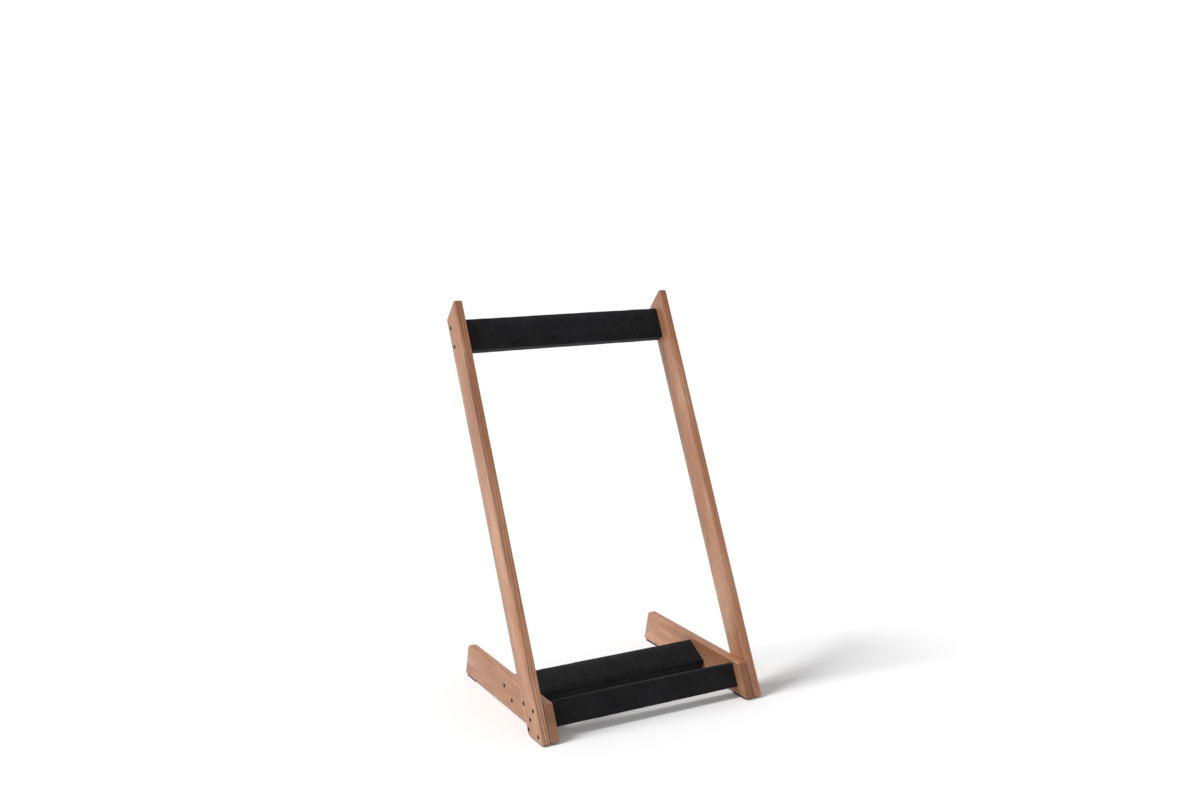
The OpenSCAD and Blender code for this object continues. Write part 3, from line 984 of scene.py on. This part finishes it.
# Each rail's frame, its length, its size along Y and Z, and the axis that its stapled face looks
# along.
RAILS = {
    "top_rail": (top_rail_frame, 2 * side_x, RAIL_T, WIDE_RAIL_W, "Y"),
    "front_rail": (front_rail_frame, 2 * foot_x, FRONT_RAIL_W, RAIL_T, "Z"),
    "rear_rail": (rear_rail_frame, 2 * foot_x, RAIL_T, WIDE_RAIL_W, "Y"),
}
staple_pattern = staple("staple_pattern")
for name, (rail_frame, length, depth, width, back) in RAILS.items():
    pad = rail_pad(name + "_pad", rail_frame, length, depth, width, back)
    fit(pad, cloth_finish, "rail_cloth", name + "_cover", name + "_foam")

    if back == "Y":
        row = Matrix.Translation((0, depth + COVER_T, width / 2))
        row = row @ Matrix.Rotation(-math.pi / 2, 4, "X")
    else:
        row = Matrix.Translation((0, depth / 2, width + COVER_T))
    count = staple_count(length)
    copies = []
    for i in range(count):
        along = Matrix.Translation(((i - (count - 1) / 2) * STAPLE_PITCH, 0, 0))
        copies.append(placed_copy(staple_pattern, "one_staple", rail_frame @ row @ along))
    staples = joined(name + "_staples_bent", copies)
    smooth(staples, 40)
    fit(staples, wire_finish, "staple_steel", name + "_staples")
    refinish(name + "_core", softwood(name + "_core"))
discard(staple_pattern)

for side in SIDES:
    refinish(f"{side}_front_rail_dowels", beech(f"{side}_front_rail_dowels"))

# ---- Rubber pads ----


def moulded_pad(node):
    """A pad with round corners and edges, and a shallow dish in its underside."""
    low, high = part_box(node)
    pad = block(node + "_moulded", low, high)
    edit(pad)
    pick_edges(pad, lambda a, b: runs_along(a, b, (0, 0, 1)))
    round_off(RUBBER_CORNER_R, 8)
    pick_faces(pad, lambda centre, normal: abs(normal.z) > 0.99)
    bpy.ops.mesh.region_to_loop()
    round_off(RUBBER_EDGE_R, 3)
    pick_faces(pad, lambda centre, normal: normal.z < -0.99)
    bpy.ops.mesh.inset(thickness=RUBBER_RIM, depth=0)
    bpy.ops.mesh.inset(thickness=RUBBER_DISH, depth=-RUBBER_DISH)
    done()
    smooth(pad, 30)
    fit(pad, rubber_finish, "pad_rubber", node)


for side in SIDES:
    for end in ("front", "rear"):
        moulded_pad(f"{side}_{end}_pad")

# ---- Floor, lights and camera ----

FLOOR_SIZE = 60
KEY_FROM = (-0.52, 0.30, 0.80)
KEY_STRENGTH = 2.7
KEY_WIDTH = math.radians(16)
# The world's glow, from its strength low over the horizon to its strength overhead.
GLOW_LOW, GLOW_HIGH = 0.22, 0.75
GLOW_HORIZON, GLOW_OVERHEAD = 1.04, 0.34

CAMERA_AT = (-1.1652, -2.1080, 0.9743)
CAMERA_DOWN_DEG = 9.967
CAMERA_TURN_DEG = -28.746
LENS_MM = 40.0
SENSOR_MM = 36


def pale_floor():
    start_fresh()
    bpy.ops.mesh.primitive_plane_add(size=FLOOR_SIZE, location=(0, 0, 0))
    floor = named("floor")
    m = Recipe("pale_floor")
    soft = m.noise(m.place, 3, 2.0)
    m.set("Base Color", m.blend(soft, rgb(0.86, 0.86, 0.865), rgb(0.89, 0.89, 0.89)))
    m.set("Roughness", 0.75)
    m.set("Specular IOR Level", 0.2)
    floor.data.materials.append(m.material)


def studio_glow():
    """White all round, bright at the horizon and dimmer overhead."""
    world = bpy.data.worlds.new("studio")
    world.use_nodes = True
    tree = world.node_tree
    way = tree.nodes.new("ShaderNodeTexCoord")
    split = tree.nodes.new("ShaderNodeSeparateXYZ")
    glow = tree.nodes.new("ShaderNodeMapRange")
    glow.interpolation_type = "SMOOTHSTEP"
    ends = (GLOW_LOW, GLOW_HIGH, GLOW_HORIZON, GLOW_OVERHEAD)
    for socket, number in zip(glow.inputs[1:5], ends):
        socket.default_value = number
    tree.links.new(way.outputs["Generated"], split.inputs[0])
    tree.links.new(split.outputs["Z"], glow.inputs["Value"])
    tree.links.new(glow.outputs["Result"], tree.nodes["Background"].inputs["Strength"])
    tree.nodes["Background"].inputs["Color"].default_value = rgb(1.0, 1.0, 1.0)
    bpy.context.scene.world = world


def key_light():
    key = bpy.data.lights.new("key", "SUN")
    key.energy = KEY_STRENGTH
    key.angle = KEY_WIDTH
    key_place = bpy.data.objects.new("key", key)
    key_place.rotation_euler = Vector(KEY_FROM).to_track_quat("Z", "Y").to_euler()
    bpy.context.scene.collection.objects.link(key_place)


def camera():
    lens = bpy.data.cameras.new("camera")
    lens.sensor_width = SENSOR_MM
    lens.lens = LENS_MM
    obj = bpy.data.objects.new("camera", lens)
    obj.location = CAMERA_AT
    obj.rotation_euler = (math.radians(90 - CAMERA_DOWN_DEG), 0, math.radians(CAMERA_TURN_DEG))
    bpy.context.scene.collection.objects.link(obj)
    bpy.context.scene.camera = obj


pale_floor()
studio_glow()
key_light()
camera()
bpy.context.scene.view_settings.view_transform = "Standard"

start_fresh()
